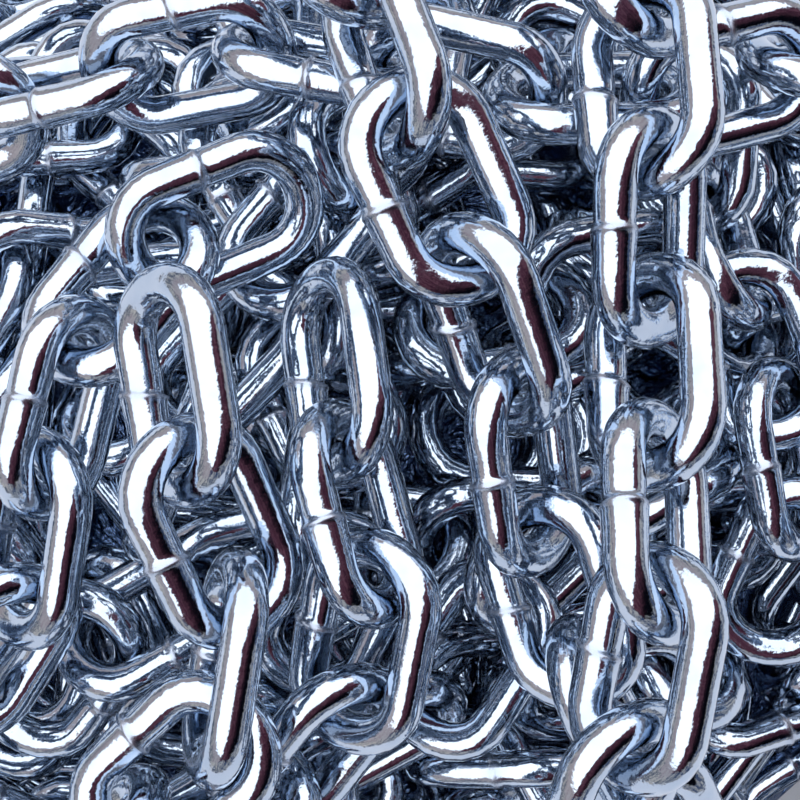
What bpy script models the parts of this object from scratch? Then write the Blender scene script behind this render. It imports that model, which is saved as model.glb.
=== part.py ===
"""Heap of welded steel chain, 10 m of it, dropped in a mound.

Each link is a closed loop of round wire that passes through the next one. The links that
lie on top are laid in runs, one solid a link. They rest on the mound below, which is one
solid: a plain core for the buried links, with a length of chain wound round it and sunk
partly into it for the heap's outer layer. Metres, +Z up, the origin on the floor under the
middle of the heap.
"""
import math

import bpy
import numpy as np
from mathutils import Matrix

# One link, after its inside length and width and the wire it is bent from
WIRE = 0.007
EYE_LENGTH = 0.025
EYE_WIDTH = 0.0125
CROWN_DEPTH = 0.0085

# The mound that the buried links make
HEAP_LENGTH = 0.31
HEAP_DEPTH = 0.29
CORE_HEIGHT = 0.088
CORE_FULLNESS = 2.6
CORE_RINGS = 10
CORE_STEPS = 48
MERGE_DISTANCE = 0.00001

# The outer layer winds in from the mound's foot, where its turns crowd together. Its start
# and wave are shares of the way out from the middle, and the wave keeps it from lying like
# a coil.
LAYER_LINKS = 80
LAYER_START = 0.92
LAYER_TURNS = 3.7
LAYER_CROWDING = 1.5
LAYER_WAVE = 0.04
LAYER_WAVES = 13.6
LAYER_POINTS = 80
LAYER_PROUD = 0.0045

# Facets of a link's crown and round its wire, on the runs and on the outer layer
CROWN_POINTS = 7
BEVEL_RESOLUTION = 2
LAYER_CROWN_POINTS = 5
LAYER_BEVEL_RESOLUTION = 1

# Room between wires that touch, at a bearing crown and where one lies on another
BEARING_GAP = 0.0003
LYING_GAP = 0.0003
MOST_SLACK = 0.004

# How a run lies: the lean of its links to either side in degrees, and its sharpest
# fall and hump, as shares of a link's length
LEAN = 45.0
SWAY = 6.0
SWAY_STEP = 2.4
STEEPEST_FALL = 0.42
SHARPEST_HUMP = 0.28
EASING_ROUNDS = 8
LAYING_ROUNDS = 14
MARCHING_ROUNDS = 12
ROUTE_END = 0.5
ROUTE_FINENESS = 30
WIRE_SAMPLES = 60

# Each run's plan route, from its first link on, how many links it has, and their leans in
# degrees where they aren't the usual ones. Along X a route is in halves of the heap's
# length, along Y in halves of its depth. The runs are laid in this order, so a later run
# lies over the earlier ones.
RUNS = (
    {"name": "back_run", "links": 7, "route": (
        (-0.50, 0.51), (-0.29, 0.59), (-0.03, 0.65), (0.23, 0.62), (0.45, 0.52))},
    {"name": "flank_run", "links": 5, "route": (
        (0.62, 0.32), (0.66, 0.08), (0.65, -0.14), (0.58, -0.34), (0.48, -0.52))},
    {"name": "top_run", "links": 9, "route": (
        (-0.71, 0.14), (-0.58, 0.22), (-0.43, 0.26), (-0.27, 0.28), (-0.12, 0.30),
        (0.04, 0.25), (0.22, 0.22), (0.40, 0.26), (0.58, 0.34))},
    {"name": "side_run", "links": 7, "leans": (-48, 25, -68, 33, -46, 55, -16), "route": (
        (-0.13, 0.12), (-0.25, 0.08), (-0.33, -0.03), (-0.38, -0.15), (-0.39, -0.32),
        (-0.45, -0.43), (-0.57, -0.59))},
    {"name": "left_run", "links": 6, "leans": (50, -50, 28, -58, 28, -58), "route": (
        (-0.08, -0.02), (-0.07, -0.16), (-0.02, -0.30), (-0.03, -0.45), (-0.10, -0.57),
        (-0.22, -0.66), (-0.36, -0.70))},
    {"name": "hook_run", "links": 5, "leans": (44, -27, 69, -3, 66), "route": (
        (-0.24, -0.06), (-0.24, -0.15), (-0.21, -0.24), (-0.15, -0.38), (-0.17, -0.51),
        (-0.33, -0.65), (-0.51, -0.74))},
    {"name": "middle_run", "links": 10, "leans": (-45, 45, -40, 70, -15, 60, -45, 30, -60, 40),
     "route": (
        (-0.19, 0.72), (-0.12, 0.54), (-0.06, 0.37), (-0.01, 0.19), (0.06, 0.03),
        (0.12, -0.11), (0.14, -0.25), (0.17, -0.39), (0.24, -0.53), (0.34, -0.69))},
    {"name": "right_run", "links": 10, "route": (
        (0.21, 0.73), (0.23, 0.52), (0.25, 0.32), (0.26, 0.13), (0.26, -0.04),
        (0.26, -0.19), (0.26, -0.34), (0.24, -0.49), (0.19, -0.66), (0.14, -0.83))},
)

WIRE_RADIUS = WIRE / 2
CROWN_REACH = (EYE_LENGTH + WIRE) / 2
LEG_OFFSET = (EYE_WIDTH + WIRE) / 2
HALF_LENGTH = HEAP_LENGTH / 2
HALF_DEPTH = HEAP_DEPTH / 2


def clear_scene():
    for thing in list(bpy.data.objects):
        bpy.data.objects.remove(thing, do_unlink=True)


def steel(name, colour, roughness):
    material = bpy.data.materials.new(name)
    material.use_nodes = True
    shader = material.node_tree.nodes["Principled BSDF"]
    shader.inputs["Base Color"].default_value = (*colour, 1)
    shader.inputs["Metallic"].default_value = 1.0
    shader.inputs["Roughness"].default_value = roughness
    return material


def link_outline(crown_points):
    """Centreline of a link in its own plane: a half ellipse at each end, straight legs between."""
    turn = np.radians(np.linspace(-90, 90, crown_points))
    along = CROWN_REACH - CROWN_DEPTH + CROWN_DEPTH * np.cos(turn)
    crown = np.column_stack((along, LEG_OFFSET * np.sin(turn)))
    return np.vstack((crown, -crown))


def outline_samples(crown_points):
    """Evenly spaced points on the centreline, as distances along and across the link."""
    corners = link_outline(crown_points)
    corners = np.vstack((corners, corners[:1]))
    walked = np.append(0, np.cumsum(np.linalg.norm(np.diff(corners, axis=0), axis=1)))
    places = np.linspace(0, walked[-1], WIRE_SAMPLES, endpoint=False)
    return np.column_stack([np.interp(places, walked, corners[:, axis]) for axis in range(2)])


def wire_points(frame, samples):
    centre, along, wide, _ = frame
    return centre + samples[:, :1] * along + samples[:, 1:] * wide


def core_surface(x, y):
    """Height of the mound over a plan point, and how steep it is there."""
    out = np.maximum(np.hypot(x / HALF_LENGTH, y / HALF_DEPTH), 1e-6)
    height = CORE_HEIGHT * (1 - out ** CORE_FULLNESS)
    fall = CORE_HEIGHT * CORE_FULLNESS * out ** (CORE_FULLNESS - 2)
    slope = np.hypot(fall * x / HALF_LENGTH ** 2, fall * y / HALF_DEPTH ** 2)
    return height, slope


def lowest_axis(x, y):
    """Lowest height at which a wire's axis clears the core and the floor."""
    height, slope = core_surface(x, y)
    clear = WIRE_RADIUS + LYING_GAP
    return np.maximum(height + clear * np.sqrt(1 + slope ** 2), clear)


def smooth_route(route):
    """A Catmull-Rom curve through the route's plan points, run on straight at both ends."""
    points = np.array(route) * (HALF_LENGTH, HALF_DEPTH)
    first = points[0] - points[1]
    last = points[-1] - points[-2]
    start = points[0] + first / np.linalg.norm(first) * ROUTE_END
    end = points[-1] + last / np.linalg.norm(last) * ROUTE_END
    guides = np.vstack((points[0] + first, points, points[-1] + last))
    pieces = [start[None]]
    for a, b, c, d in zip(guides, guides[1:], guides[2:], guides[3:]):
        t = np.linspace(0, 1, ROUTE_FINENESS, endpoint=False)[:, None]
        pieces.append(0.5 * (2 * b + (c - a) * t + (2 * a - 5 * b + 4 * c - d) * t ** 2
                             + (3 * b - a - 3 * c + d) * t ** 3))
    pieces.append(points[-1:])
    pieces.append(end[None])
    curve = np.vstack(pieces)
    walked = np.append(0, np.cumsum(np.linalg.norm(np.diff(curve, axis=0), axis=1)))
    return curve, walked - ROUTE_END


class Run:
    """A length of chain along a plan route, held as its bearing points' places and heights."""

    def __init__(self, name, links, route, leans=(-LEAN, LEAN)):
        self.name = name
        self.count = links
        self.curve, self.walked = smooth_route(route)
        index = np.arange(links)
        sway = SWAY * np.sin(SWAY_STEP * index + len(name))
        self.leans = np.radians(np.array([leans[k % len(leans)] for k in index]) + sway)
        self.slack = np.full(links + 1, BEARING_GAP)
        self.places = np.arange(links + 1) * EYE_LENGTH
        self.heights = self.ground() + WIRE_RADIUS + LEG_OFFSET * math.sin(math.radians(LEAN))

    def plan(self, place):
        return (np.interp(place, self.walked, self.curve[:, 0]),
                np.interp(place, self.walked, self.curve[:, 1]))

    def ground(self):
        return np.maximum(core_surface(*self.plan(self.places))[0], 0)

    def height(self, place):
        places = np.concatenate(([2 * self.places[0] - self.places[1]], self.places,
                                 [2 * self.places[-1] - self.places[-2]]))
        heights = np.concatenate(([2 * self.heights[0] - self.heights[1]], self.heights,
                                  [2 * self.heights[-1] - self.heights[-2]]))
        return np.interp(place, places, heights)

    def point(self, place):
        x, y = self.plan(place)
        return np.array((x, y, self.height(place)))

    def crown_centre(self, place, slack, side):
        """Centre of the wire that bears at a place, in the link after (-1) or before (1) it."""
        half = EYE_LENGTH / 2
        heading = self.point(place + half) - self.point(place - half)
        heading /= np.linalg.norm(heading)
        return self.point(place) + side * (WIRE_RADIUS + slack / 2) * heading

    def march(self):
        """Walks the route with rigid links, and returns where each link's two crowns lie."""
        place = 0.0
        places = [place]
        ends = []
        for k in range(self.count):
            rear = self.crown_centre(place, self.slack[k], -1)
            place += EYE_LENGTH
            for _ in range(MARCHING_ROUNDS):
                front = self.crown_centre(place, self.slack[k + 1], 1)
                place += 0.8 * (2 * CROWN_REACH - np.linalg.norm(front - rear))
            places.append(place)
            ends.append((rear, front))
        self.heights = self.height(np.array(places))
        self.places = np.array(places)
        return ends

    def frames(self):
        """Each link's centre and its long, wide and flat directions."""
        frames = []
        for (rear, front), lean in zip(self.march(), self.leans):
            along = (front - rear) / np.linalg.norm(front - rear)
            level = np.cross((0, 0, 1), along)
            level /= np.linalg.norm(level)
            upward = np.cross(along, level)
            wide = math.cos(lean) * level + math.sin(lean) * upward
            frames.append(((front + rear) / 2, along, wide, np.cross(along, wide)))
        return frames


def needed_rise(points, below):
    """How far a link's wire must rise to lie just clear of everything beneath it."""
    rise = np.max(lowest_axis(points[:, 0], points[:, 1]) - points[:, 2])
    reach = WIRE + LYING_GAP
    middle = points.mean(axis=0)
    near = below[np.hypot(*(below[:, :2] - middle[:2]).T) < CROWN_REACH + LEG_OFFSET + reach]
    if len(near):
        offset = points[:, None, :2] - near[None, :, :2]
        across = np.einsum("ijk,ijk->ij", offset, offset)
        lift = near[None, :, 2] + np.sqrt(np.maximum(reach ** 2 - across, 0)) - points[:, None, 2]
        over = across < reach ** 2
        if over.any():
            rise = max(rise, np.max(lift[over]))
    return rise


def loosen(run, wires):
    """Sets each bearing's slack so that its two links come as near as the gap, and no nearer."""
    wanted = WIRE + BEARING_GAP
    for k in range(len(wires) - 1):
        apart = np.linalg.norm(wires[k][:, None] - wires[k + 1][None], axis=2).min()
        slack = run.slack[k + 1] + 0.8 * (wanted - apart)
        run.slack[k + 1] = min(max(slack, BEARING_GAP), MOST_SLACK)


def ease(heights):
    """Raises bearing points, as heights over the core, until no fall or hump between them is
    sharper than in a laid chain."""
    most_fall = STEEPEST_FALL * EYE_LENGTH
    most_hump = SHARPEST_HUMP * EYE_LENGTH
    for _ in range(EASING_ROUNDS):
        for k in range(1, len(heights)):
            heights[k] = max(heights[k], heights[k - 1] - most_fall)
        for k in range(len(heights) - 2, -1, -1):
            heights[k] = max(heights[k], heights[k + 1] - most_fall)
        for k in range(1, len(heights) - 1):
            lower, higher = sorted((k - 1, k + 1), key=lambda side: heights[side])
            excess = max(2 * heights[k] - heights[lower] - heights[higher] - most_hump, 0)
            to_level = min(excess, heights[higher] - heights[lower])
            heights[lower] += to_level + (excess - to_level) / 2
            heights[higher] += (excess - to_level) / 2
    return heights


def lay(run, samples, below):
    """Settles a run over what is already laid, and returns its links' frames."""
    for _ in range(LAYING_ROUNDS):
        wires = [wire_points(frame, samples) for frame in run.frames()]
        loosen(run, wires)
        rises = np.array([needed_rise(wire, below) for wire in wires])
        at_bearings = np.maximum(np.append(rises, rises[-1]), np.append(rises[0], rises))
        ground = run.ground()
        run.heights = ground + ease(run.heights + at_bearings - ground)
    frames = run.frames()
    rise = max(needed_rise(wire_points(frame, samples), below) for frame in frames)
    return [(frame[0] + (0, 0, rise), *frame[1:]) for frame in frames]


def sink(run):
    """Lays a run partly into the core, so that each of its links stays joined to it."""
    for _ in range(LAYING_ROUNDS):
        run.heights = run.ground() + LAYER_PROUD
        frames = run.frames()
    return frames


def layer_route():
    """Plan points of the outer layer: a wavy spiral from the mound's foot in to its top."""
    share = np.linspace(0, 1, LAYER_POINTS)
    turn = math.tau * LAYER_TURNS * share
    out = (LAYER_START * (1 - share ** LAYER_CROWDING)
           + LAYER_WAVE * np.sin(math.tau * LAYER_WAVES * share))
    return np.column_stack((out * np.cos(turn), out * np.sin(turn)))


def make_link_curve(name, crown_points, bevel_resolution, material):
    """The wire of one link, bent into its closed loop."""
    curve = bpy.data.curves.new(name, "CURVE")
    curve.dimensions = "3D"
    curve.bevel_depth = WIRE_RADIUS
    curve.bevel_resolution = bevel_resolution
    outline = link_outline(crown_points)
    spline = curve.splines.new("POLY")
    spline.points.add(len(outline) - 1)
    for point, (x, y) in zip(spline.points, outline):
        point.co = (x, y, 0, 1)
    spline.use_cyclic_u = True
    spline.use_smooth = True
    curve.materials.append(material)
    return curve


def make_mesh(curve):
    """A curve's surface as a mesh, which a Boolean can read."""
    bent = bpy.data.objects.new(curve.name, curve)
    bpy.context.scene.collection.objects.link(bent)
    evaluated = bent.evaluated_get(bpy.context.evaluated_depsgraph_get())
    mesh = bpy.data.meshes.new_from_object(evaluated)
    bpy.data.objects.remove(bent, do_unlink=True)
    return mesh


def place_link(name, data, frame, collection):
    centre, along, wide, flat = frame
    link = bpy.data.objects.new(name, data)
    turned = Matrix((along, wide, flat)).transposed().to_4x4()
    link.matrix_world = Matrix.Translation(centre) @ turned
    collection.objects.link(link)
    return link


def make_core(collection, parent, material):
    """The buried links as one mound: a profile turned about Z, then drawn in to the heap's depth."""
    out = np.sin(np.radians(np.linspace(0, 90, CORE_RINGS + 1)))
    profile = [(HALF_LENGTH * r, 0, CORE_HEIGHT * (1 - r ** CORE_FULLNESS)) for r in out]
    profile.append((0, 0, 0))
    edges = [(k, k + 1) for k in range(len(profile) - 1)]
    mesh = bpy.data.meshes.new("core")
    mesh.from_pydata(profile, edges, [])
    mesh.materials.append(material)
    core = bpy.data.objects.new("core", mesh)
    core.scale = (1, HEAP_DEPTH / HEAP_LENGTH, 1)
    core.parent = parent
    collection.objects.link(core)
    screw = core.modifiers.new("turn", "SCREW")
    screw.axis = "Z"
    screw.angle = math.tau
    screw.steps = CORE_STEPS
    screw.render_steps = CORE_STEPS
    screw.use_merge_vertices = True
    screw.merge_threshold = MERGE_DISTANCE
    screw.use_smooth_shade = False
    return core


def add_outer_layer(core, guides, material):
    """Joins the partly sunk links to the core, and returns points along their wires."""
    curve = make_link_curve("layer_link", LAYER_CROWN_POINTS, LAYER_BEVEL_RESOLUTION, material)
    mesh = make_mesh(curve)
    frames = sink(Run("outer_layer", LAYER_LINKS, layer_route()))
    for number, frame in enumerate(frames, start=1):
        guide = place_link(f"layer_link_{number:02d}", mesh, frame, guides)
        guide.hide_render = True
        guide.display_type = "WIRE"
    union = core.modifiers.new("outer_layer", "BOOLEAN")
    union.operation = "UNION"
    union.operand_type = "COLLECTION"
    union.collection = guides
    union.solver = "EXACT"
    samples = outline_samples(LAYER_CROWN_POINTS)
    return np.vstack([wire_points(frame, samples) for frame in frames])


def lay_runs(collection, parent, material, below):
    """Lays the runs in turn, each over the mound and the runs before it."""
    curve = make_link_curve("link", CROWN_POINTS, BEVEL_RESOLUTION, material)
    samples = outline_samples(CROWN_POINTS)
    for run_words in RUNS:
        run = Run(**run_words)
        frames = lay(run, samples, below)
        for number, frame in enumerate(frames, start=1):
            link = place_link(f"{run.name}_link_{number:02d}", curve, frame, collection)
            link.parent = parent
        below = np.vstack((below, *[wire_points(frame, samples) for frame in frames]))


def main():
    clear_scene()
    collection = bpy.data.collections.new("heap_of_steel_chain")
    guides = bpy.data.collections.new("outer_layer_guides")
    bpy.context.scene.collection.children.link(collection)
    bpy.context.scene.collection.children.link(guides)
    heap = bpy.data.objects.new("heap", None)
    collection.objects.link(heap)
    buried = steel("buried_chain_steel", (0.22, 0.25, 0.32), 0.35)
    plated = steel("zinc_plated_steel", (0.62, 0.68, 0.78), 0.2)
    core = make_core(collection, heap, buried)
    below = add_outer_layer(core, guides, buried)
    lay_runs(collection, heap, plated, below)


main()
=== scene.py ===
"""Heap of bright zinc-plated steel chain: every link drawn as bent, welded wire.

The links of the runs on top replace their CAD nodes one for one. In place of the mound
below them, chain is laid here, run after run, over a low inner core, and pressed down under
the runs. The inner core stands for the deepest links, and is seen only through narrow gaps.
"""

import math

import bpy
import numpy as np
from bpy.props import FloatProperty, FloatVectorProperty, IntProperty, PointerProperty
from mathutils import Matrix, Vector


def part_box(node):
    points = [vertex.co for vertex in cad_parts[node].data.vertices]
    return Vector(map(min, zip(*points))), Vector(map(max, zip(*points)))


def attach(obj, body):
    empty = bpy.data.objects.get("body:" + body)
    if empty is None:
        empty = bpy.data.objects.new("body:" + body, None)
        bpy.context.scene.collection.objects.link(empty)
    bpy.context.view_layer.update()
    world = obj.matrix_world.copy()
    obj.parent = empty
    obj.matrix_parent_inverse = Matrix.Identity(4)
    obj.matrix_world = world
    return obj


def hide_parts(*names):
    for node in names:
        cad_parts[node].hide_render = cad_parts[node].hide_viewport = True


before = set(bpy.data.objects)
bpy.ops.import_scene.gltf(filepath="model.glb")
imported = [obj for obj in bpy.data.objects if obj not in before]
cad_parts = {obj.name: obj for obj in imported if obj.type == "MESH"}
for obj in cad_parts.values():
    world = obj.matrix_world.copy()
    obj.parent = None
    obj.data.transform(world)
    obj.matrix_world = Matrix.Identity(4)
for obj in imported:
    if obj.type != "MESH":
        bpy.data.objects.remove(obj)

bl_info = {
    "name": "Heap of steel chain",
    "version": (1, 0, 0),
    "blender": (4, 5, 0),
    "location": "View3D > Sidebar > Chain heap",
    "description": "Draws a heap of zinc-plated welded chain round its CAD frame",
    "category": "Object",
}

CORE = "core"
RUN_LINKS = sorted(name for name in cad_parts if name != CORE)


def linear(hex_colour):
    """An sRGB hex colour as linear red, green and blue."""
    parts = (int(hex_colour[k:k + 2], 16) / 255 for k in (1, 3, 5))
    return tuple(c / 12.92 if c <= 0.04045 else ((c + 0.055) / 1.055) ** 2.4 for c in parts)


def unit(vectors):
    return vectors / np.linalg.norm(vectors, axis=-1, keepdims=True)


def node_points(name):
    """The distinct vertices of a CAD node, as an array of places in metres."""
    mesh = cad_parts[name].data
    points = np.empty(len(mesh.vertices) * 3, np.float32)
    mesh.vertices.foreach_get("co", points)
    return np.unique(points.reshape(-1, 3).astype(float).round(7), axis=0)


def principal(points):
    """The middle of a link's points, and its long, wide and flat directions in rows."""
    centre = points.mean(axis=0)
    return centre, np.linalg.svd(points - centre, full_matrices=False)[2]


def link_spread(name):
    """Half the size of a link's node along its long, wide and flat directions."""
    points = node_points(name)
    centre, axes = principal(points)
    return np.abs((points - centre) @ axes.T).max(axis=0)


LONG_HALF, _, WIRE_HALF = (float(half) for half in link_spread(RUN_LINKS[0]))
CORE_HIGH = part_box(CORE)[1]


def carried(poses, points):
    """A link's points, carried to each of the poses: middles, and axes in columns."""
    centre, axes = poses
    return centre[:, None] + np.einsum("nij,pj->npi", axes, points)


def stand(mesh):
    """Puts a mesh into the scene, as an object of its name."""
    piece = bpy.data.objects.new(mesh.name, mesh)
    bpy.context.scene.collection.objects.link(piece)
    return piece


class HeapLinkSizes(bpy.types.PropertyGroup):
    """What one link is bent from, and how its weld stands out."""
    wire: FloatProperty(
        name="Wire", description="Diameter of the wire", default=2 * WIRE_HALF,
        unit="LENGTH", precision=4)
    eye_length: FloatProperty(
        name="Eye length", description="Inside length of a link, which is its pitch",
        default=2 * LONG_HALF - 4 * WIRE_HALF, unit="LENGTH", precision=4)
    eye_width: FloatProperty(
        name="Eye width", description="Inside width of a link", default=0.0125,
        unit="LENGTH", precision=4)
    crown_depth: FloatProperty(
        name="Crown depth", description="Length of a link's rounded end on the wire's middle",
        default=0.0085, unit="LENGTH", precision=4)
    weld_height: FloatProperty(
        name="Weld height", description="How far the weld's ring stands out of the wire",
        default=0.00034, unit="LENGTH", precision=5)
    weld_width: FloatProperty(
        name="Weld width", description="Half the width of the weld's ring", default=0.00055,
        unit="LENGTH", precision=5)
    weld_step: FloatProperty(
        name="Weld step", description="How much thicker the wire is on one side of the weld",
        default=0.00018, unit="LENGTH", precision=5)
    weld_slant: FloatProperty(
        name="Weld slant", description="How far the weld's ring leans along the wire",
        default=0.0007, unit="LENGTH", precision=5)


class HeapLayingSizes(bpy.types.PropertyGroup):
    """How the chain below the runs is laid, and pressed down."""
    inner_height: FloatProperty(
        name="Inner height", description="Height of the inner core that the chain is laid on",
        default=0.055, unit="LENGTH", precision=3)
    inner_reach: FloatProperty(
        name="Inner reach", description="How far out the inner core goes, as a share of the heap",
        default=0.86, subtype="FACTOR")
    loose_height: FloatProperty(
        name="Loose height", description="How far the loose chain may stand above the mound",
        default=0.110, unit="LENGTH", precision=3)
    lid_height: FloatProperty(
        name="Lid height", description="How far a pressed wire's middle may stand above the mound",
        default=0.0085, unit="LENGTH", precision=4)
    under_run: FloatProperty(
        name="Under a run", description="How far under a run's lowest wire the laid wires end",
        default=0.004, unit="LENGTH", precision=4)
    run_shoulder: FloatProperty(
        name="Run's shoulder", description="Radius in which the laid chain falls away beside a run",
        default=0.007, unit="LENGTH", precision=3)
    lean: FloatProperty(
        name="Lean", description="Lean of the links to either side", default=math.radians(42),
        subtype="ANGLE")
    links: IntProperty(
        name="Links", description="The laying stops at this many links", default=325)
    press_steps: IntProperty(
        name="Press steps", description="Steps in which the lid comes down", default=1000)
    nearest: FloatProperty(
        name="Nearest", description="Links whose wires' middles stay nearer are taken out",
        default=0.0064, unit="LENGTH", precision=4)
    seed: IntProperty(
        name="Seed", description="Which of the random heaps is laid", default=11)


class HeapColours(bpy.types.PropertyGroup):
    """The finish's colours, with the colour of the painted shade deep in the heap, and the floor's.
    """
    plating: FloatVectorProperty(
        name="Plating", description="Colour of the bright zinc plating", subtype="COLOR",
        default=linear("#c4cdd8"))
    passivation: FloatVectorProperty(
        name="Passivation", description="The blue of the plating's clear passivation",
        subtype="COLOR", default=linear("#9db0c6"))
    weld: FloatVectorProperty(
        name="Weld", description="Colour of the plating on the weld's rough ring",
        subtype="COLOR", default=linear("#a6b0c0"))
    # Painted shade: a darker, bluer copy of the plating's colour, for the steel deep in the heap
    shadow: FloatVectorProperty(
        name="Shadow", description="Colour of the steel deep in the heap", subtype="COLOR",
        default=linear("#6f86ab"))
    floor: FloatVectorProperty(
        name="Floor", description="Colour of the studio's floor", subtype="COLOR",
        default=linear("#dcdfe4"))


class HeapStudio(bpy.types.PropertyGroup):
    """Where the camera stands and how the studio is lit."""
    elevation: FloatProperty(
        name="Elevation", description="How steeply the camera looks down",
        default=math.radians(80), subtype="ANGLE")
    distance: FloatProperty(
        name="Distance", description="From the camera to the point that it looks at",
        default=0.2339, unit="LENGTH", precision=3)
    lens: FloatProperty(
        name="Lens", description="Focal length for a 36 mm sensor", default=67.9,
        subtype="DISTANCE_CAMERA")
    aim: FloatVectorProperty(
        name="Aim", description="The point that the camera looks at", subtype="XYZ",
        unit="LENGTH", default=(0.0004, -0.0231, 0.1277))


def sizes():
    return bpy.context.scene.heap_link


def laying():
    return bpy.context.scene.heap_laying


def colours():
    return bpy.context.scene.heap_colours


# The link's shape

WELD_PLACE = 0.75  # share of the way round the link, from its front crown's tip


def centreline(link, places):
    """Points and outward directions on a link's centreline, in its own plane.

    The line is two half ellipses joined by straight legs. It is walked from the front
    crown's tip, over the leg on the wide side, round the rear crown and back along the
    leg that has the weld. places are shares of the way round.
    """
    reach = (link.eye_length + link.wire) / 2
    side = (link.eye_width + link.wire) / 2
    turn = np.radians(np.linspace(0, 90, 40))
    quarter = np.column_stack((
        reach - link.crown_depth + link.crown_depth * np.cos(turn), side * np.sin(turn)))
    half = np.vstack((quarter, (quarter * (-1, 1))[::-1]))
    whole = np.vstack((half, -half[1:]))
    walked = np.append(0, np.cumsum(np.linalg.norm(np.diff(whole, axis=0), axis=1)))
    length = walked[-1]

    def at(distance):
        return np.column_stack([np.interp(distance, walked, whole[:, k]) for k in range(2)])

    there = places * length
    stride = 0.0004
    tangent = unit(at((there + stride) % length) - at((there - stride) % length))
    return at(there), np.column_stack((tangent[:, 1], -tangent[:, 0])), length


def ring_places(link, rings, weld_rings):
    """Where the rings of a link's surface stand, as shares of the way round.

    They stand evenly but at the weld, where they are closer, and closest in its middle.
    """
    evenly = np.linspace(0, 1, rings, endpoint=False)
    if not weld_rings:
        return evenly
    width = link.weld_width / centreline(link, evenly)[2]
    reach = np.linspace(-1, 1, weld_rings)
    at_weld = WELD_PLACE + 4.2 * width * reach * (0.45 + 0.55 * np.abs(reach))
    clear = np.abs(evenly - WELD_PLACE) > 4.6 * width
    return np.sort(np.append(evenly[clear], at_weld))


def link_surface(link, rings, sides, weld_rings):
    """A link's skin as a grid: how far round the loop, and how far round the wire.

    Each ring is a circle of the wire's radius, set square to the centreline. Near the weld
    the radius gains a bell-shaped ring, a little askew and uneven round the wire, and a
    step that fades away. Gives the skin, and how much each of its points is on the weld.
    """
    places = ring_places(link, rings, weld_rings)
    points, outward, length = centreline(link, places)
    angle = np.arange(sides) / sides * math.tau
    from_weld = ((places - WELD_PLACE) * length)[:, None] + link.weld_slant * np.sin(angle + 0.7)
    uneven = 1 + 0.28 * np.sin(2 * angle + 0.8) + 0.16 * np.sin(5 * angle)
    from_weld = from_weld / link.weld_width
    ring = np.exp(-from_weld ** 2) * uneven
    step = np.tanh(from_weld) * np.exp(-(from_weld / 6) ** 2)
    radius = link.wire / 2 + (link.weld_height * ring + link.weld_step * step) * bool(weld_rings)
    across = points[:, None] + outward[:, None] * (radius * np.cos(angle))[..., None]
    weld = np.exp(-(from_weld / 1.5) ** 2)
    return np.dstack((across, radius * np.sin(angle))), weld * bool(weld_rings)


def grid_faces(rings, sides):
    """Corner numbers of a grid that is closed both ways, facing out."""
    here = np.arange(rings * sides).reshape(rings, sides)
    ahead = np.roll(here, -1, axis=0)
    corners = (here, np.roll(here, -1, axis=1), np.roll(ahead, -1, axis=1), ahead)
    return np.stack(corners, axis=2).reshape(-1, 4)


def draw_links(name, poses, detail):
    """One plated object of one or more links, each the same skin in its own pose."""
    skin, weld = link_surface(sizes(), *detail)
    vertices = carried(poses, skin.reshape(-1, 3))
    links, points = vertices.shape[:2]
    faces = grid_faces(*skin.shape[:2]) + np.arange(links)[:, None, None] * points
    faces = faces.reshape(-1, 4)
    mesh = bpy.data.meshes.new(name)
    mesh.vertices.add(links * points)
    mesh.vertices.foreach_set("co", vertices.astype(np.float32).ravel())
    mesh.loops.add(faces.size)
    mesh.loops.foreach_set("vertex_index", faces.astype(np.int32).ravel())
    mesh.polygons.add(len(faces))
    mesh.polygons.foreach_set("loop_start", np.arange(0, faces.size, 4, dtype=np.int32))
    mesh.update(calc_edges=True)
    mesh.shade_smooth()
    attribute = mesh.attributes.new("weld", "FLOAT", "POINT")
    attribute.data.foreach_set("value", np.tile(weld.ravel(), links).astype(np.float32))
    mesh.materials.append(bright_zinc())
    return stand(mesh)


# Where the run links lie


def link_pose(name, toward):
    """A link's middle and its long, wide and flat directions, as its node has them.

    The directions are the principal ones of the node's vertices. The long one points along
    the run, and the wide one to the heap's +X side, so the weld is on the other leg.
    """
    centre, (along, wide, _) = principal(node_points(name))
    along = along * (1 if along @ toward > 0 else -1)
    wide = wide * (1 if wide[0] > 0 else -1)
    return centre, np.column_stack((along, wide, np.cross(along, wide)))


def run_poses():
    """Each run link's pose, by its node's name."""
    middles = {name: node_points(name).mean(axis=0) for name in RUN_LINKS}
    poses = {}
    for name in RUN_LINKS:
        run, number = name[:-2], int(name[-2:])
        after = f"{run}{number + 1:02d}"
        rear, front = (name, after) if after in middles else (f"{run}{number - 1:02d}", name)
        poses[name] = link_pose(name, middles[front] - middles[rear])
    return poses


# How the chain below the runs is laid

MOUND_FULLNESS = 2.6  # of the mound that the laid chain fills, and of the inner core
MOUND_TOP = 0.092  # the laid mound's own height
BEADS = 20  # points that stand for one link's wire
TOUCHING = 0.0002  # gap between two wires that touch
CLEARANCE = 0.0003  # gap between a laid wire and what it lies on
CELL = 0.004  # side of the square cells in which heights are kept
MENDED = 0.8  # share of an error that one pass puts right
MOST_TRIES = 190  # runs that are tried
CURVES = 60  # that each run's is chosen from
FEWEST, MOST = 7, 11  # links in a run
LEAN_SPREAD = 0.14  # radians


def share_out(points, margin=0.0):
    """How far out plan points are, as a share of the way to a line inside the rim."""
    x, y = points[..., 0], points[..., 1]
    return np.hypot(x / (CORE_HIGH.x - margin), y / (CORE_HIGH.y - margin))


def mound_height(points):
    """Height of the mound over plan points: highest in the middle, nothing at the rim."""
    return MOUND_TOP * (1 - share_out(points) ** MOUND_FULLNESS)


def inner_height(points, plan):
    """Height of the inner core over plan points, below zero outside it."""
    return plan.inner_height * (1 - (share_out(points) / plan.inner_reach) ** MOUND_FULLNESS)


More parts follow.
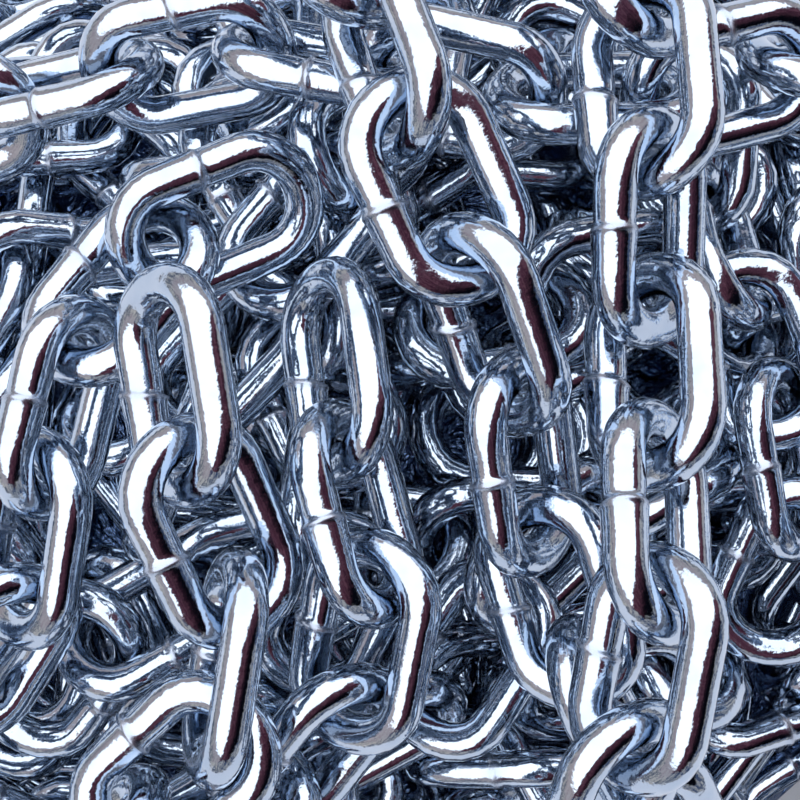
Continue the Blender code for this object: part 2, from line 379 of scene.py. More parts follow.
def bead_shape(link):
    """Evenly spaced points on a link's centreline, which stand for its wire."""
    flat = centreline(link, np.arange(BEADS) / BEADS)[0]
    return np.column_stack((flat, np.zeros(BEADS)))


class LaidRun:
    """A length of chain on a plan curve, held as its bearing points' places and heights.

    Slack is how much further apart the wires of a bearing are than if they touched. The
    fall and the hump from one bearing to the next are limited to shares of a pitch.
    """
    STEEPEST_FALL = 0.42
    SHARPEST_HUMP = 0.30

    def __init__(self, curve, count, leans, ground, link):
        self.curve = curve
        self.walked = np.append(0, np.cumsum(np.linalg.norm(np.diff(curve, axis=0), axis=1)))
        self.walked -= link.eye_length
        self.link = link
        self.leans = leans
        self.spacing = np.full(count, link.eye_length)
        self.slack = np.full(count + 1, 0.0004)
        self.ground = ground
        self.heights = self.under() + link.wire

    def plan(self, places):
        return np.column_stack([np.interp(places, self.walked, self.curve[:, k]) for k in range(2)])

    def places(self):
        return np.append(0, np.cumsum(self.spacing))

    def under(self):
        return np.maximum(self.ground(self.plan(self.places())), 0)

    def points(self, asked):
        places = self.places()
        reach = self.link.eye_length
        knots = np.concatenate(([places[0] - reach], places, [places[-1] + reach]))
        rise = self.heights
        knot_heights = np.concatenate(([2 * rise[0] - rise[1]], rise, [2 * rise[-1] - rise[-2]]))
        return np.column_stack((self.plan(asked), np.interp(asked, knots, knot_heights)))

    def poses(self):
        """Marches all the links at once, until each is as long as a link."""
        link = self.link
        half = link.eye_length / 2
        for _ in range(5):
            places = self.places()
            middle = self.points(places)
            heading = unit(self.points(places + half) - self.points(places - half))
            reach = (link.wire / 2 + self.slack / 2)[:, None] * heading
            rear = (middle - reach)[:-1]
            front = (middle + reach)[1:]
            wanted = link.eye_length + link.wire
            self.spacing += MENDED * (wanted - np.linalg.norm(front - rear, axis=1))
        along = unit(front - rear)
        level = unit(np.cross((0, 0, 1), along))
        upward = np.cross(along, level)
        wide = np.cos(self.leans)[:, None] * level + np.sin(self.leans)[:, None] * upward
        return (front + rear) / 2, np.stack((along, wide, np.cross(along, wide)), axis=2)

    def ease(self, heights):
        """Raises the heights until no fall and no hump between them is too sharp."""
        most_fall = self.STEEPEST_FALL * self.link.eye_length
        most_hump = self.SHARPEST_HUMP * self.link.eye_length
        index = np.arange(len(heights))
        cone = most_fall * np.abs(index[:, None] - index)
        for _ in range(4):
            heights = (heights[None] - cone).max(axis=1)
            hump = np.maximum(2 * heights[1:-1] - heights[:-2] - heights[2:] - most_hump, 0)
            lift = np.zeros_like(heights)
            lift[:-2] += hump / 2
            lift[2:] += hump / 2
            heights = heights + lift
        return heights


def needed_rises(wires, below, ground, wire):
    """How far each link must rise to lie just clear of everything beneath it.

    On the core's slope a wire needs a little more room than on flat ground.
    """
    clear = wire / 2 + CLEARANCE
    floor = np.maximum(ground(wires) + clear * 1.05, clear)
    rise = (floor - wires[..., 2]).max(axis=1)
    reach = wire + CLEARANCE
    low, high = wires.min(axis=(0, 1)) - reach, wires.max(axis=(0, 1)) + reach
    near = below[((below[:, :2] > low[:2]) & (below[:, :2] < high[:2])).all(axis=1)]
    if len(near):
        flat = wires.reshape(-1, 3)
        across = ((flat[:, None, :2] - near[None, :, :2]) ** 2).sum(axis=2)
        lift = near[None, :, 2] + np.sqrt(np.maximum(reach ** 2 - across, 0)) - flat[:, None, 2]
        lift = np.where(across < reach ** 2, lift, -1).max(axis=1).reshape(wires.shape[:2])
        rise = np.maximum(rise, lift.max(axis=1))
    return rise


def lay_run(run, below, shape):
    """Settles a run over what is laid already, and gives its poses and its wire's points."""
    wire = run.link.wire
    for _ in range(9):
        wires = carried(run.poses(), shape)
        apart = np.sqrt(((wires[:-1, :, None] - wires[1:, None]) ** 2).sum(axis=3)).min(axis=(1, 2))
        slack = run.slack[1:-1] + MENDED * (wire + TOUCHING - apart)
        run.slack[1:-1] = np.clip(slack, 0.0003, 0.004)
        rises = needed_rises(wires, below, run.ground, wire)
        at_bearings = np.maximum(np.append(rises, rises[-1]), np.append(rises[0], rises))
        under = run.under()
        run.heights = under + run.ease(run.heights + at_bearings - under)
    centre, axes = run.poses()
    rise = needed_rises(carried((centre, axes), shape), below, run.ground, wire).max()
    poses = (centre + (0, 0, rise), axes)
    return poses, carried(poses, shape)


def wandering_curves(draw, count, length, stride=0.003):
    """Smooth plan curves that wander over the mound, and turn back in before its rim.

    Each starts somewhere on the mound. Its heading swings in two slow waves, and near the
    rim it is steered inwards. No bend is tighter than the chain can follow. Bends are in
    radians a metre.
    """
    tightest, inward_bend = 21, 22
    steered_from, steered_over = 0.62, 0.28
    long_wave, short_wave = 0.040, 0.023
    radius = 0.85 * np.sqrt(draw.uniform(0, 1, count))
    turn = draw.uniform(0, math.tau, count)
    half = np.array((CORE_HIGH.x, CORE_HIGH.y))
    point = half * np.column_stack((radius * np.cos(turn), radius * np.sin(turn)))
    heading, first, second = draw.uniform(0, math.tau, (3, count))
    swing = draw.uniform(2, 11, (2, count))
    points = []
    for walked in np.arange(0, length, stride):
        points.append(point)
        out = np.hypot(*(point / half).T)
        inwards = np.arctan2(-point[:, 1], -point[:, 0])
        off = np.sin(inwards - heading)
        steer = np.clip((out - steered_from) / steered_over, 0, 1) * np.where(off < 0, -1, 1)
        steer = steer * inward_bend
        wave = swing[0] * np.sin(walked / long_wave + first)
        wave = wave + swing[1] * np.sin(walked / short_wave + second)
        heading = heading + np.clip(wave + steer, -tightest, tightest) * stride
        point = point + stride * np.column_stack((np.cos(heading), np.sin(heading)))
    return np.stack(points, axis=1)


class HeightMap:
    """The height of what is laid, in square cells over the plan."""

    def __init__(self):
        self.count = int(2 * CORE_HIGH.x / CELL) + 3
        self.tops = np.zeros((self.count, self.count))

    def cells(self, points):
        cells = ((points[..., :2] + CORE_HIGH.x) / CELL).astype(int) + 1
        return tuple(np.moveaxis(np.clip(cells, 0, self.count - 1), -1, 0))

    def add(self, points, wire):
        for shift in ((0, 0), (wire / 2, 0), (-wire / 2, 0), (0, wire / 2), (0, -wire / 2)):
            np.maximum.at(self.tops, self.cells(points[..., :2] + shift), points[..., 2])

    def along(self, curves):
        return self.tops[self.cells(curves)]


class Roof:
    """How high the pressed chain may stand: over the mound, and higher under a raised run.

    It is held as heights on a square grid. Beside a run it falls away as a parabola.
    """

    def __init__(self, held, link, plan):
        across = np.arange(-CORE_HIGH.x, CORE_HIGH.x + 2 * CELL, CELL)
        spots = np.stack(np.meshgrid(across, across, indexing="ij"), axis=2)
        self.tops = np.maximum(mound_height(spots), 0) + plan.lid_height
        for wire in carried(held, bead_shape(link)):
            apart = ((spots[:, :, None] - wire[:, :2]) ** 2).sum(axis=3).min(axis=2)
            under = wire[:, 2].min() - plan.under_run
            self.tops = np.maximum(self.tops, under - apart / (2 * plan.run_shoulder))

    def over(self, points):
        """The height over plan points, evened out between the grid's corners."""
        place = (points[..., :2] + CORE_HIGH.x) / CELL
        corner = np.clip(place.astype(int), 0, len(self.tops) - 2)
        x, y = np.moveaxis(place - corner, -1, 0)
        i, j = np.moveaxis(corner, -1, 0)
        near = (1 - x) * self.tops[i, j] + x * self.tops[i + 1, j]
        far = (1 - x) * self.tops[i, j + 1] + x * self.tops[i + 1, j + 1]
        return (1 - y) * near + y * far


def lay_mound(link, plan, roof):
    """Lays runs of chain on the inner core, each where the heap is lowest so far.

    Every run is dropped on the core and the runs before it, and kept if it isn't too high.
    Gives the links' poses, and which links bear in the next ones.
    """
    draw = np.random.default_rng(plan.seed)
    shape = bead_shape(link)
    below = np.empty((0, 3))
    poses = []
    fronts = []
    tops = HeightMap()

    def ground(points):
        return inner_height(points, plan)

    laid = 0
    tries = 0
    while laid < plan.links and tries < MOST_TRIES:
        tries += 1
        count = int(draw.integers(FEWEST, MOST + 1))
        curves = wandering_curves(draw, CURVES, (count + 2.5) * link.eye_length)
        curves = curves[share_out(curves, margin=0.012).max(axis=1) < 1]
        room = np.maximum(tops.along(curves), np.maximum(ground(curves), 0)) - roof.over(curves)
        best = np.argmin(room.mean(axis=1) + 0.4 * room.max(axis=1))
        side = draw.choice((-1, 1))
        leans = side * plan.lean * np.where(np.arange(count) % 2, 1, -1)
        leans = leans + draw.normal(0, LEAN_SPREAD, count)
        run = LaidRun(curves[best], count, leans, ground, link)
        placed, wires = lay_run(run, below, shape)
        top = (wires[..., 2] - roof.over(wires)).max()
        if not top < plan.loose_height:
            # Where a run finds no room counts as a little higher, so the next goes elsewhere
            tops.add(np.column_stack((curves[best], tops.along(curves[best]) + 0.002)), 0.0)
            continue
        poses.append(placed)
        fronts.append(laid + np.arange(count - 1))
        laid += count
        below = np.vstack((below, wires.reshape(-1, 3)))
        tops.add(wires + (0, 0, link.wire / 2), link.wire)
    centre = np.concatenate([pose[0] for pose in poses])
    axes = np.concatenate([pose[1] for pose in poses])
    front = np.concatenate(fronts)
    return (centre, axes), front, front + 1


# How the laid chain is pressed down


def closest_points(p, u, q, v):
    """The nearest points of the segments from p by u and from q by v, row by row."""
    apart = p - q
    uu, uv, vv = (u * u).sum(axis=1), (u * v).sum(axis=1), (v * v).sum(axis=1)
    along_u, along_v = (u * apart).sum(axis=1), (v * apart).sum(axis=1)
    slant = np.maximum(uu * vv - uv * uv, 1e-14)
    s = np.clip((uv * along_v - vv * along_u) / slant, 0, 1)
    t = np.clip((uv * s + along_v) / vv, 0, 1)
    s = np.clip((uv * t - along_u) / uu, 0, 1)
    return p + s[:, None] * u, q + t[:, None] * v


def turned(axes, spin):
    """Sets of axes, each turned by its rotation vector."""
    angle = np.linalg.norm(spin, axis=1)[:, None, None]
    x, y, z = (spin / np.maximum(angle[:, :, 0], 1e-12)).T
    none = np.zeros_like(x)
    cross = np.stack((none, -z, y, z, none, -x, -y, x, none), axis=1).reshape(-1, 3, 3)
    return (np.eye(3) + np.sin(angle) * cross + (1 - np.cos(angle)) * cross @ cross) @ axes


class Press:
    """Rigid links that a lid presses down, without one wire entering another.

    The loose links come first and the held ones, which come down with the lid, after them.
    Each step finds what touches: wires of two links, the two crowns of a bearing, and the
    ground, the mound's rim and the lid. It moves and turns the links to undo what is too
    near or too far apart. The pushes on one link are averaged, so it can't overshoot. Places
    are rounded at each step, so that sums in another order still give the same heap.
    """
    MOST_PUSH = 0.0014
    MOST_FALL = 0.0005
    MOST_TURN = 0.2
    BEARING = 0.0112  # between the middles of two crowns that bear
    WATCHED = 0.0035  # gap under which beads are listed
    NEAR = 0.002  # gap under which the wires' own gap is worked out
    LISTED_EVERY = 5  # steps
    ADDED = 1.7  # pushes that count in full, before more are averaged
    KEPT_SPEED = (0.8, 0.8, 0.97)  # share that a step keeps, across and down
    SHAKEN_TURN = 80  # radians for each metre that a link is shaken by

    def __init__(self, laid, held, front, rear, link, plan, roof):
        self.centre, self.axes = (np.concatenate(both) for both in zip(laid, held))
        self.loose = len(laid[0])
        self.home = held[0]
        self.front, self.rear = front, rear
        self.wire, self.plan, self.roof = link.wire, plan, roof
        self.clear = link.wire + TOUCHING
        self.shape = bead_shape(link)
        self.reach = self.shape[:, 0].max()
        length, width = (self.shape[:, :2] ** 2).mean(axis=0)
        self.inertia = np.array((width, length, length + width))
        self.speed = np.zeros_like(self.centre)
        self.lift = 0.0
        self.draw = np.random.default_rng(plan.seed)
        self.place_beads()

    def place_beads(self):
        self.centre, self.axes = self.centre.round(7), self.axes.round(6)
        self.count = len(self.centre)
        self.free = (np.arange(self.count) < self.loose).astype(float)
        self.wires = carried((self.centre, self.axes), self.shape)

    def pair_up(self):
        """Lists the beads that may touch in the next steps, link pair by link pair."""
        margin = self.clear + self.WATCHED
        apart = ((self.centre[:, None] - self.centre[None]) ** 2).sum(axis=2)
        first, second = np.nonzero(np.triu(apart < (2 * self.reach + margin) ** 2, 1))
        either = np.minimum(first, second) < self.loose
        first, second = first[either], second[either]
        apart = ((self.wires[first] - self.centre[second][:, None]) ** 2).sum(axis=2)
        pair, bead = np.nonzero(apart < (self.reach + margin) ** 2)
        here = self.wires[first[pair], bead].astype(np.float32)
        there = self.wires[second[pair]].astype(np.float32)
        row, self.second_bead = np.nonzero(((here[:, None] - there) ** 2).sum(axis=2) < margin ** 2)
        self.first, self.second = first[pair[row]], second[pair[row]]
        self.first_bead = bead[row]
        key = self.first * self.count + self.second
        self.starts = np.flatnonzero(np.append(True, key[1:] != key[:-1]))
        count = np.diff(np.append(self.starts, len(key)))
        self.pair = np.repeat(np.arange(len(count)), count)

    def contacts(self):
        """The nearest points of each two links that are close, with how far apart they are.

        The nearest beads are found first, and then the nearest points of the segments of
        wire that meet at them.
        """
        here = self.wires[self.first, self.first_bead]
        there = self.wires[self.second, self.second_bead]
        apart = ((here - there) ** 2).sum(axis=1)
        least = np.minimum.reduceat(apart, self.starts)
        nearest = np.flatnonzero(apart == least[self.pair])
        nearest = nearest[np.unique(self.pair[nearest], return_index=True)[1]]
        nearest = nearest[apart[nearest] < (self.clear + self.NEAR) ** 2]
        first, second = self.first[nearest], self.second[nearest]
        i, j = self.first_bead[nearest], self.second_bead[nearest]
        found = []
        for back, other_back in ((0, 0), (0, 1), (1, 0), (1, 1)):
            p, q = self.wires[first, i - back], self.wires[second, j - other_back]
            p_end = self.wires[first, (i - back + 1) % BEADS]
            q_end = self.wires[second, (j - other_back + 1) % BEADS]
            found.append(closest_points(p, p_end - p, q, q_end - q))
        points = np.array(found)
        gaps = np.linalg.norm(points[:, 0] - points[:, 1], axis=2)
        best = gaps.argmin(axis=0)
        rows = np.arange(len(first))
        return first, second, points[best, 0, rows], points[best, 1, rows], gaps[best, rows]

    def ease(self, link, arm, way):
        """How far a link's point moves the given way for a unit push there."""
        lever = np.einsum("nji,nj->ni", self.axes[link], np.cross(arm, way))
        return self.free[link] * (1 + (lever ** 2 / self.inertia).sum(axis=1))

    def gather(self, link, arm, push):
        """Adds pushes at points of links to what this step moves and turns them by."""
        lever = np.einsum("nji,nj->ni", self.axes[link], np.cross(arm, push))
        spin = np.einsum("nij,nj->ni", self.axes[link], lever / self.inertia)
        free = self.free[link]
        for k in range(3):
            self.move[:, k] += np.bincount(link, push[:, k] * free, self.count)
            self.spin[:, k] += np.bincount(link, spin[:, k] * free, self.count)
        self.pushes += np.bincount(link, minlength=self.count)

    def part(self, first, second, here, there, way, deep):
        """Pushes two links' points that deep apart, each link by how easily it moves."""
        arm = here - self.centre[first]
        other_arm = there - self.centre[second]
        ease = self.ease(first, arm, way) + self.ease(second, other_arm, way)
        push = way * (deep / np.maximum(ease, 1e-9))[:, None]
        self.gather(first, arm, push)
        self.gather(second, other_arm, -push)

    def hold(self, over, way):
        """Pushes each quarter of a loose link back by its bead that is furthest over a limit."""
        quarters = over.reshape(-1, 4, BEADS // 4)
        worst = quarters.argmax(axis=2)
        deep = quarters.max(axis=2)
        link, quarter = np.nonzero(deep > 0)
        bead = worst[link, quarter] + quarter * (BEADS // 4)
        way = np.broadcast_to(way, (*over.shape, 3))[link, bead]
        arm = self.wires[link, bead] - self.centre[link]
        push = np.minimum(deep[link, quarter], self.MOST_PUSH) / self.ease(link, arm, way)
        self.gather(link, arm, way * push[:, None])

    def contain(self):
        """Holds the loose links over the ground, within the mound's rim and under the lid."""
        wires = self.wires[:self.loose]
        ground = np.maximum(inner_height(wires, self.plan), 0) + self.wire / 2 + 0.0001
        lid = self.roof.over(wires) + self.lift
        rim = (share_out(wires) - 1) * CORE_HIGH.y + self.wire / 2 + 0.0005
        self.hold(ground - wires[..., 2], (0.0, 0, 1))
        self.hold(rim, -unit(wires * (1, 1, 0)))
        self.hold(wires[..., 2] - lid, (0.0, 0, -1))

    def step(self, number, gravity, shake):
        """Lets the links fall, pushes them apart and together, and shakes them."""
        if number % self.LISTED_EVERY == 0:
            self.pair_up()
        before = self.centre
        fall = self.speed * self.KEPT_SPEED - (0, 0, gravity)
        size = np.linalg.norm(fall, axis=1)
        fall *= (np.minimum(1, self.MOST_FALL / np.maximum(size, 1e-9)) * self.free)[:, None]
        self.centre = self.centre + fall
        self.wires += fall[:, None]
        self.move, self.spin = np.zeros((2, self.count, 3))
        self.pushes = np.zeros(self.count)
        first, second, here, there, apart = self.contacts()
        touch = apart < self.clear
        way = (here - there) / np.maximum(apart, 1e-9)[:, None]
        deep = np.minimum(self.clear - apart, self.MOST_PUSH)
        self.part(first[touch], second[touch], here[touch], there[touch], way[touch], deep[touch])
        crown, next_crown = self.wires[self.front, 0], self.wires[self.rear, BEADS // 2]
        apart = np.linalg.norm(crown - next_crown, axis=1)
        far = apart > self.BEARING
        way = (next_crown - crown) / apart[:, None]
        deep = 2 * np.minimum(apart - self.BEARING, self.MOST_PUSH)
        self.part(self.front[far], self.rear[far], crown[far], next_crown[far], way[far], deep[far])
        self.contain()
        share = self.ADDED / np.maximum(self.pushes, self.ADDED)[:, None]
        self.move *= share
        self.spin *= share
        if shake:
            self.move += self.draw.normal(0, shake, (self.count, 3)) * self.free[:, None]
            turn = self.draw.normal(0, self.SHAKEN_TURN * shake, (self.count, 3))
            self.spin += turn * self.free[:, None]
        size = np.linalg.norm(self.spin, axis=1)
        self.spin *= np.minimum(1, self.MOST_TURN / np.maximum(size, 1e-9))[:, None]
        self.centre = self.centre + self.move
        self.axes = turned(self.axes, self.spin)
        self.place_beads()
        self.speed = (self.centre - before) * self.free[:, None]
        self.speed[:, 2] = np.minimum(self.speed[:, 2], 0)

    def lower(self, lift, steps):
        """Brings the lid and the held links down from a lift to where they belong."""
        for step in range(steps):
            share = 1 - (step + 1) / steps
            self.lift = lift * share
            self.centre[self.loose:] = self.home + (0, 0, self.lift)
            self.place_beads()
            self.step(step, gravity=0.000004, shake=0.0001 * min(1, 3 * share))

    def settle(self, steps):
        """Lets the links move apart under the lid, and squares up their axes."""
        for step in range(steps):
            self.step(step, gravity=0.000002, shake=0.0)
        left, _, right = np.linalg.svd(self.axes)
        self.axes = left @ right

    def take_out(self, most):
        """Takes out the loose links that overlap others most, and tells how many."""
        self.pair_up()
        first, second, _, _, apart = self.contacts()
        deep = np.maximum(self.plan.nearest - apart, 0)
        keep = np.ones(self.count, bool)
        while deep.max() > 0 and (~keep).sum() < most:
            blame = np.bincount(first, deep, self.count) + np.bincount(second, deep, self.count)
            worst = (blame * self.free).argmax()
            keep[worst] = False
            deep[(first == worst) | (second == worst)] = 0
        number = np.cumsum(keep) - 1
        both = keep[self.front] & keep[self.rear]
        self.front, self.rear = number[self.front[both]], number[self.rear[both]]
        self.centre, self.axes, self.speed = self.centre[keep], self.axes[keep], self.speed[keep]
        out = int((~keep).sum())
        self.loose -= out
        self.place_beads()
        return out


FIRST_SETTLING, LATER_SETTLING = 160, 80  # steps
OUT_AT_ONCE = 12  # links


def pressed_mound(held, link, plan):
    """The laid chain, pressed down to the mound with the held links in their places on top.

    A link that the press leaves inside another is taken out, and the rest settle again.
    """
    roof = Roof(held, link, plan)
    laid, front, rear = lay_mound(link, plan, roof)
    press = Press(laid, held, front, rear, link, plan, roof)
    press.lower(plan.loose_height, plan.press_steps)
    press.settle(FIRST_SETTLING)
    while press.take_out(OUT_AT_ONCE):
        press.settle(LATER_SETTLING)
    return press


# The finish, and the painted shade deep in the heap


def add(tree, kind, settings):
    """Adds a node. A setting is a property, or an input's value or the output linked to it."""
    node = tree.nodes.new(kind)
    for key, value in settings.items():
        if isinstance(value, bpy.types.NodeSocket):
            tree.links.new(value, node.inputs[key])
        elif isinstance(key, str) and hasattr(node, key):
            setattr(node, key, value)
        else:
            node.inputs[key].default_value = value
    return node


def cleared(owner):
    """The node tree of a material or world, with nothing in it."""
    owner.use_nodes = True
    owner.node_tree.nodes.clear()
    return owner.node_tree


def bright_zinc():
    """Bright zinc plating, clear blue passivated, on drawn and bent steel wire. Made once.

    Electroplated bright zinc is a near mirror with a cool tint. The eye sees crisp
    reflections that waver where the wire was drawn and bent, with fine pits and a duller,
    rougher ring at the weld.
    """
    name = "bright_zinc_plating"
    if name in bpy.data.materials:
        return bpy.data.materials[name]
    material = bpy.data.materials.new(name)
    tree = cleared(material)
    place = add(tree, "ShaderNodeTexCoord", {}).outputs["Object"]
    weld = add(tree, "ShaderNodeAttribute", {"attribute_name": "weld"}).outputs["Fac"]
    # The wire wavers over about its own thickness, 6 mm, and the tools' marks on it are
    # 1.5 mm long. Real pits are under 0.1 mm, and are drawn 0.45 mm wide so that they show.
    waver, marks, pits = (
        add(tree, "ShaderNodeTexNoise", {"Vector": place, "Scale": scale, "Detail": detail})
        for scale, detail in ((160.0, 2.0), (650.0, 2.0), (2200.0, 3.0)))
    tone = add(tree, "ShaderNodeMix", {
        "data_type": "RGBA", 0: waver.outputs["Fac"],
        6: (*colours().plating, 1), 7: (*colours().passivation, 1)})
    dulled = add(tree, "ShaderNodeMix", {
        "data_type": "RGBA", 0: weld, 6: tone.outputs[2], 7: (*colours().weld, 1)})
    rough = add(tree, "ShaderNodeMapRange", {
        "Value": pits.outputs["Fac"], "From Min": 0.35, "From Max": 0.75,
        "To Min": 0.05, "To Max": 0.13})
    rougher = add(tree, "ShaderNodeMath", {
        "operation": "MULTIPLY_ADD", 0: weld, 1: 0.22, 2: rough.outputs["Result"]})
    normal = {}
    for noise, strength, distance in (
            (waver, 0.35, 0.0002), (marks, 0.5, 0.00012), (pits, 0.5, 0.00003)):
        bump = add(tree, "ShaderNodeBump", {
            "Height": noise.outputs["Fac"], "Strength": strength, "Distance": distance, **normal})
        normal = {"Normal": bump.outputs["Normal"]}
    shader = add(tree, "ShaderNodeBsdfPrincipled", {
        "Metallic": 1.0, "Base Color": dulled.outputs[2],
        "Roughness": rougher.outputs["Value"], **normal})
    add(tree, "ShaderNodeOutputMaterial", {"Surface": shader.outputs["BSDF"]})
    return material


def shadowed_zinc():
    """The same plating deep in the heap, with its shade painted in: one darker, bluer, lumpy, shiny
    mass, seen through gaps.

    Its lumps are 7.7 mm wide, about as the wires that it stands for.
    """
    material = bpy.data.materials.new("shadowed_zinc")
    tree = cleared(material)
    place = add(tree, "ShaderNodeTexCoord", {}).outputs["Object"]
    lumps = add(tree, "ShaderNodeTexNoise", {
        "Vector": place, "Scale": 130.0, "Detail": 3.0, "Distortion": 1.5})
    bump = add(tree, "ShaderNodeBump", {
        "Height": lumps.outputs["Fac"], "Strength": 1.0, "Distance": 0.004})
    shader = add(tree, "ShaderNodeBsdfPrincipled", {
        # Painted shade: the plating's colour made darker and bluer, as the shade deep in the heap
        # would make it
        "Base Color": (*colours().shadow, 1), "Metallic": 1.0, "Roughness": 0.15,
        "Normal": bump.outputs["Normal"]})
    add(tree, "ShaderNodeOutputMaterial", {"Surface": shader.outputs["BSDF"]})
    return material


# Rings round a link, sides round its wire and rings at its weld
RUN_DETAIL, OUTER_DETAIL = (44, 18, 15), (34, 14, 9)
INNER_DETAIL, DEEP_DETAIL = (26, 12, 5), (16, 8, 0)
INNER_FROM, DEEP_FROM = 0.024, 0.045  # how far below the roof these layers start


class HEAP_OT_run_links(bpy.types.Operator):
    """Draws the links of the runs on top, one piece for each CAD node"""
    bl_idname = "heap.run_links"
    bl_label = "Run links"

    def execute(self, context):
        for name, (centre, axes) in run_poses().items():
            piece = draw_links(f"plated_{name}", (centre[None], axes[None]), RUN_DETAIL)
            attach(piece, "root")
            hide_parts(name)
        return {"FINISHED"}


class HEAP_OT_laid_chain(bpy.types.Operator):
    """Lays and draws the chain below the runs, in place of the CAD core"""
    bl_idname = "heap.laid_chain"
    bl_label = "Laid chain"

    def execute(self, context):
        held = tuple(np.array(parts) for parts in zip(*run_poses().values()))
        press = pressed_mound(held, sizes(), laying())
        centre, axes = press.centre[:press.loose], press.axes[:press.loose]
        below = press.roof.over(centre) - laying().lid_height - centre[:, 2]
        outer, deep = below < INNER_FROM, below > DEEP_FROM
        for name, chosen, detail in (
                ("outer_chain", outer, OUTER_DETAIL),
                ("inner_chain", ~outer & ~deep, INNER_DETAIL),
                ("deep_chain", deep, DEEP_DETAIL)):
            piece = draw_links(name, (centre[chosen], axes[chosen]), detail)
            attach(piece, "root")
            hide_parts(CORE)
        return {"FINISHED"}


def dome_surface(plan, rings=24, spokes=64):
    """The inner core's skin: its height over ellipses that widen from its top to its foot.

    An ellipse's reach is the sine of an angle that grows evenly. Fans of triangles close
    the top and the foot.
    """
    out = plan.inner_reach * np.sin(np.radians(np.linspace(0, 90, rings)))[1:, None]
    turn = np.arange(spokes) / spokes * math.tau
    x, y = CORE_HIGH.x * out * np.cos(turn), CORE_HIGH.y * out * np.sin(turn)
    z = np.maximum(inner_height(np.stack((x, y), axis=2), plan), 0)
    middle = np.array(((0, 0, plan.inner_height), (0, 0, 0)))
    vertices = np.vstack((middle, np.stack((x, y, z), axis=2).reshape(-1, 3)))
    ring = len(middle) + spokes * np.arange(rings - 1)[:, None] + np.arange(spokes)
    after = np.roll(ring, -1, axis=1)
    top, foot = np.zeros(spokes, int), np.ones(spokes, int)
    fans = np.vstack((np.column_stack((top, ring[0], after[0])),
                      np.column_stack((foot, after[-1], ring[-1]))))
    walls = np.stack((ring[:-1], ring[1:], after[1:], after[:-1]), axis=2).reshape(-1, 4)
    return vertices, fans.tolist() + walls.tolist()


class HEAP_OT_inner_core(bpy.types.Operator):
    """Draws the core inside the laid chain, which stands for the deepest links"""
    bl_idname = "heap.inner_core"
    bl_label = "Inner core"

    def execute(self, context):
        vertices, faces = dome_surface(laying())
        mesh = bpy.data.meshes.new("inner_core")
        mesh.from_pydata(vertices, [], faces)
        # Painted shade: the core wears the darker, bluer copy of the plating
        mesh.materials.append(shadowed_zinc())
        mesh.shade_smooth()
        piece = stand(mesh)
        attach(piece, "root")
        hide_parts(CORE)
        return {"FINISHED"}


# Each tone of the studio: its guide, the guide's values where it starts and ends, and what
# it is there, a hex colour or a tone named before it
STUDIO_TONES = (
    ("wall", "patches", 0.42, 0.58, "#c0acac", "#d6c8c6"),
    ("light_low", "patches", 0.42, 0.58, "#687080", "#e8dace"),
    ("light_wall", "height", 0.16, 0.26, "light_low", "wall"),
    ("tent", "height", 0.45, 0.51, "light_wall", "white"),
    ("plum", "patches", 0.42, 0.58, "#502b3a", "#7c4e5a"),
    ("curtain", "side", -0.80, -0.40, "#090a12", "plum"),
    ("dark_low", "patches", 0.42, 0.58, "#385074", "#d4ccc6"),
    ("dark_side", "height", 0.28, 0.36, "dark_low", "curtain"),
    ("whole", "side", -0.28, -0.24, "dark_side", "tent"),
)
TENT_BRIGHTNESS = 2.4


def studio_sky():
    """The studio round the heap, as the links mirror it.

    A plane splits it beside the camera. To the upper left a white light tent stands over a
    mauve wall, and to the lower right hangs a curtain that goes from plum to black. Low
    down both give way to patchy tones. Noise frays the edges. What the camera sees directly
    is plain and pale.
    """
    world = bpy.data.worlds.new("studio")
    bpy.context.scene.world = world
    tree = cleared(world)
    direction = add(tree, "ShaderNodeTexCoord", {}).outputs["Generated"]
    frays, patches = (
        add(tree, "ShaderNodeTexNoise", {"Vector": direction, "Scale": scale, "Detail": detail})
        for scale, detail in ((6.0, 2.0), (11.0, 3.0)))
    fray = add(tree, "ShaderNodeMath", {
        "operation": "MULTIPLY_ADD", 0: frays.outputs["Fac"], 1: 0.22, 2: -0.11})
    upper_left = Vector((-0.8, 0.6, 0.104)).normalized()
    across = add(tree, "ShaderNodeVectorMath", {
        "operation": "DOT_PRODUCT", 0: direction, 1: upper_left})
    axes = add(tree, "ShaderNodeSeparateXYZ", {0: direction})
    guides = {"patches": patches.outputs["Fac"]}
    for name, guide in (("side", across.outputs["Value"]), ("height", axes.outputs["Z"])):
        guides[name] = add(tree, "ShaderNodeMath", {
            "operation": "ADD", 0: guide, 1: fray.outputs["Value"]}).outputs["Value"]
    tones = {"white": (*(TENT_BRIGHTNESS * part for part in linear("#fbfbff")), 1)}
    for name, guide, low, high, *ends in STUDIO_TONES:
        share = add(tree, "ShaderNodeMapRange", {
            "interpolation_type": "SMOOTHSTEP", "Value": guides[guide],
            "From Min": low, "From Max": high, "To Min": 0.0, "To Max": 1.0})
        first, second = (tones[end] if end in tones else (*linear(end), 1) for end in ends)
        tones[name] = add(tree, "ShaderNodeMix", {
            "data_type": "RGBA", 0: share.outputs["Result"], 6: first, 7: second}).outputs[2]
    sky = add(tree, "ShaderNodeBackground", {"Color": tones["whole"]})
    plain = add(tree, "ShaderNodeBackground", {"Color": (*linear("#d5d9e0"), 1)})
    path = add(tree, "ShaderNodeLightPath", {})
    both = add(tree, "ShaderNodeMixShader", {
        0: path.outputs["Is Camera Ray"], 1: sky.outputs["Background"],
        2: plain.outputs["Background"]})
    add(tree, "ShaderNodeOutputWorld", {"Surface": both.outputs["Shader"]})


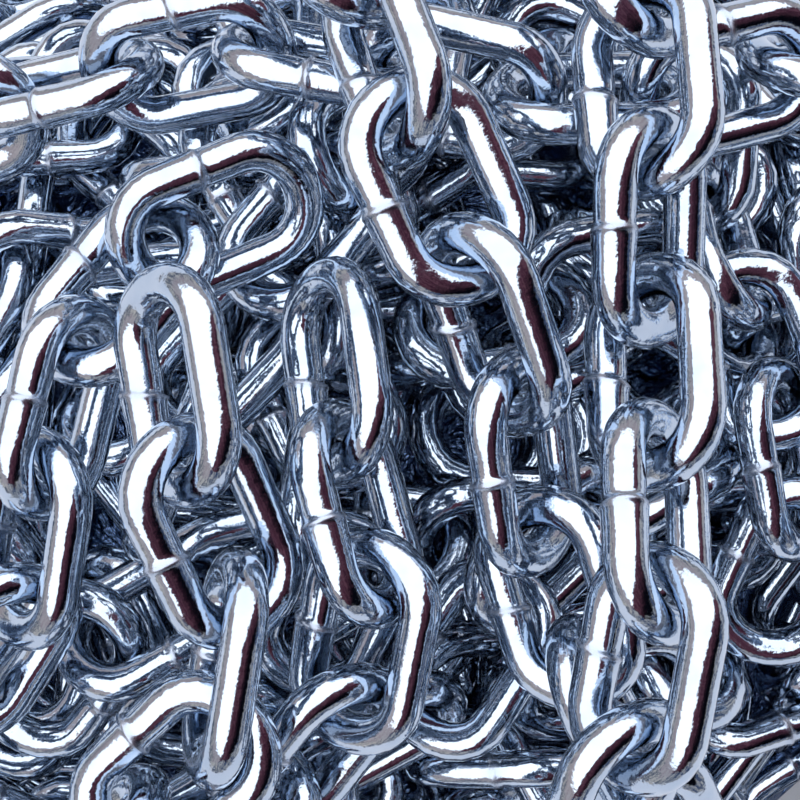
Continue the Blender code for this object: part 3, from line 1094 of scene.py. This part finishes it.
class HEAP_OT_studio(bpy.types.Operator):
    """Sets out the floor, the sky that lights the heap and the camera"""
    bl_idname = "heap.studio"
    bl_label = "Studio"

    def execute(self, context):
        scene = context.scene
        studio = scene.heap_studio
        mesh = bpy.data.meshes.new("studio_floor")
        half = 3.0
        corners = [(-half, -half, 0), (half, -half, 0), (half, half, 0), (-half, half, 0)]
        mesh.from_pydata(corners, [], [(0, 1, 2, 3)])
        # Matt paint, rolled on, which mirrors nothing
        paint = bpy.data.materials.new("studio_paint")
        tree = cleared(paint)
        shader = add(tree, "ShaderNodeBsdfPrincipled", {
            "Base Color": (*colours().floor, 1), "Roughness": 0.8})
        add(tree, "ShaderNodeOutputMaterial", {"Surface": shader.outputs["BSDF"]})
        mesh.materials.append(paint)
        stand(mesh)
        studio_sky()
        scene.view_settings.view_transform = "Standard"
        camera = bpy.data.objects.new("camera", bpy.data.cameras.new("camera"))
        camera.data.lens = studio.lens
        camera.data.sensor_width = 36
        camera.data.clip_start = 0.01
        aim = Vector(studio.aim)
        back = Vector((0, -math.cos(studio.elevation), math.sin(studio.elevation)))
        camera.location = aim + back * studio.distance
        camera.rotation_euler = (-back).to_track_quat("-Z", "Y").to_euler()
        scene.collection.objects.link(camera)
        scene.camera = camera
        return {"FINISHED"}


OPERATORS = (HEAP_OT_run_links, HEAP_OT_laid_chain, HEAP_OT_inner_core, HEAP_OT_studio)


class HEAP_PT_panel(bpy.types.Panel):
    """The heap's pieces and their settings"""
    bl_label = "Chain heap"
    bl_idname = "HEAP_PT_panel"
    bl_space_type = "VIEW_3D"
    bl_region_type = "UI"
    bl_category = "Chain heap"

    def draw(self, context):
        for operator in OPERATORS:
            self.layout.operator(operator.bl_idname)
        for name, group in GROUPS:
            box = self.layout.box()
            for setting in group.__annotations__:
                box.prop(getattr(context.scene, name), setting)


GROUPS = (
    ("heap_link", HeapLinkSizes),
    ("heap_laying", HeapLayingSizes),
    ("heap_colours", HeapColours),
    ("heap_studio", HeapStudio),
)


def register():
    for name, group in GROUPS:
        bpy.utils.register_class(group)
        setattr(bpy.types.Scene, name, PointerProperty(type=group))
    for operator in OPERATORS:
        bpy.utils.register_class(operator)
    bpy.utils.register_class(HEAP_PT_panel)


def unregister():
    bpy.utils.unregister_class(HEAP_PT_panel)
    for operator in reversed(OPERATORS):
        bpy.utils.unregister_class(operator)
    for name, group in reversed(GROUPS):
        delattr(bpy.types.Scene, name)
        bpy.utils.unregister_class(group)


def main():
    register()
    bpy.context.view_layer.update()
    bpy.ops.heap.run_links()
    bpy.ops.heap.laid_chain()
    bpy.ops.heap.inner_core()
    bpy.ops.heap.studio()


if __name__ == "__main__":
    main()
